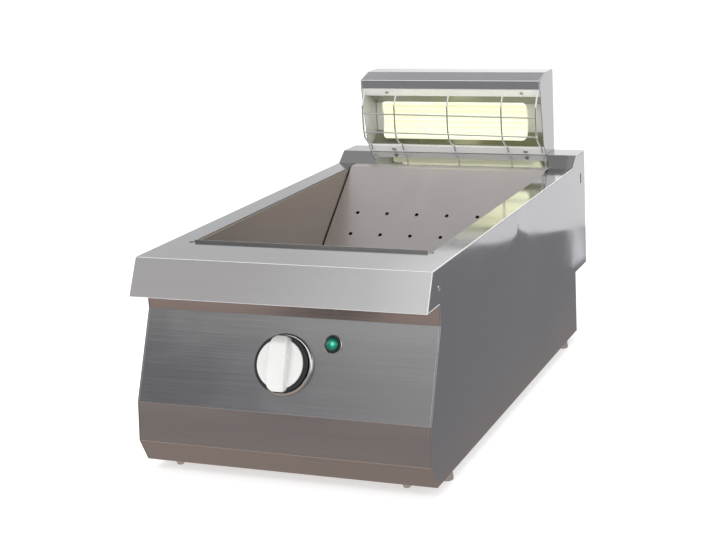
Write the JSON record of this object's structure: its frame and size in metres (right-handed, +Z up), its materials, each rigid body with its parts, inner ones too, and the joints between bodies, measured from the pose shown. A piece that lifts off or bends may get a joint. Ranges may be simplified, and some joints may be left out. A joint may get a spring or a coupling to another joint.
{
  "type": "chip warmer",
  "caption": "Counter-top chip warmer: stainless case with a deep well, sloping perforated drain ramp, infrared emitter in a guarded rear hood, heat knob, pilot lamp and levelling feet.",
  "frame": {"origin": "on the surface the feet stand on, under the middle of the machine's width and of its overall depth, knob included", "axes": "+X to the right seen from the front, +Y towards the back, +Z up"},
  "size_m": [0.4, 0.743, 0.428],
  "materials": {
    "steel": "brushed stainless",
    "panel_steel": "brushed stainless",
    "well_steel": "satin stainless",
    "bright_steel": "polished",
    "ceramic": "glazed ceramic",
    "white_enamel": "gloss",
    "black_plastic": "satin",
    "grey_plastic": "matt",
    "green_lens": "clear green",
    "brass": "bright",
    "silicone": "matt"
  },
  "bodies": {
    "case": {"worktop": "steel", "rear_ledge": "steel", "side_panel_left": "steel", "side_panel_right": "steel", "front_panel": "panel_steel", "plinth_screw_left": "bright_steel", "plinth_screw_right": "bright_steel", "base_tray": "steel", "lower_back_panel": "steel", "rear_box_cover": "steel", "basin": "well_steel", "basin_heater": "silicone", "heater_clamp_plate": "steel", "limit_thermostat": "grey_plastic", "hood_shell": "panel_steel", "hood_cheek_left": "steel", "hood_cheek_right": "steel", "guard_upper_rail": "bright_steel", "guard_lower_rail": "steel", "reflector": "bright_steel", "ceramic_emitter": "ceramic", "emitter_clip": "steel", "emitter_terminal_block": "white_enamel", "wire_guard": "bright_steel", "hood_conduit": "brass", "knob_bezel": "bright_steel", "energy_regulator": "grey_plastic", "pilot_body": "grey_plastic", "pilot_lens": "green_lens", "pilot_bezel": "black_plastic", "pilot_ring": "bright_steel", "pilot_nut": "black_plastic", "terminal_block": "white_enamel", "cable_gland": "black_plastic", "gland_nut": "black_plastic", "earth_stud": "brass", "loom_controls": "black_plastic", "loom_hood": "black_plastic", "foot_socket_front_left": "steel", "foot_socket_front_right": "steel", "foot_socket_rear_left": "steel", "foot_socket_rear_right": "steel"},
    "knob": {"knob_cap": "white_enamel", "knob_skirt": "black_plastic", "knob_trim_ring": "bright_steel", "regulator_shaft": "bright_steel"},
    "ramp": {"drain_ramp": "well_steel"},
    "floor_plate": {"drain_floor": "well_steel"},
    "front_left_foot": {"foot_front_left": "bright_steel"},
    "front_right_foot": {"foot_front_right": "bright_steel"},
    "rear_left_foot": {"foot_rear_left": "bright_steel"},
    "rear_right_foot": {"foot_rear_right": "bright_steel"}
  },
  "joints": [
    {"name": "knob_turn", "type": "hinge", "parent": "case", "child": "knob", "pos_m": [0, -0.33888, 0.1534], "axis": [0, 0.9209, -0.3899], "range_deg": [0, 270]},
    {"name": "ramp_lift", "type": "slide", "parent": "case", "child": "ramp", "axis": [0, -0.2588, 0.9659], "range_m": [0, 0.19]},
    {"name": "floor_lift", "type": "slide", "parent": "case", "child": "floor_plate", "axis": [0, 0, 1], "range_m": [0, 0.15]},
    {"name": "front_left_foot_screw", "type": "slide", "parent": "case", "child": "front_left_foot", "axis": [0, 0, -1], "range_m": [0, 0.01]},
    {"name": "front_right_foot_screw", "type": "slide", "parent": "case", "child": "front_right_foot", "axis": [0, 0, -1], "range_m": [0, 0.01]},
    {"name": "rear_left_foot_screw", "type": "slide", "parent": "case", "child": "rear_left_foot", "axis": [0, 0, -1], "range_m": [0, 0.01]},
    {"name": "rear_right_foot_screw", "type": "slide", "parent": "case", "child": "rear_right_foot", "axis": [0, 0, -1], "range_m": [0, 0.01]}
  ]
}
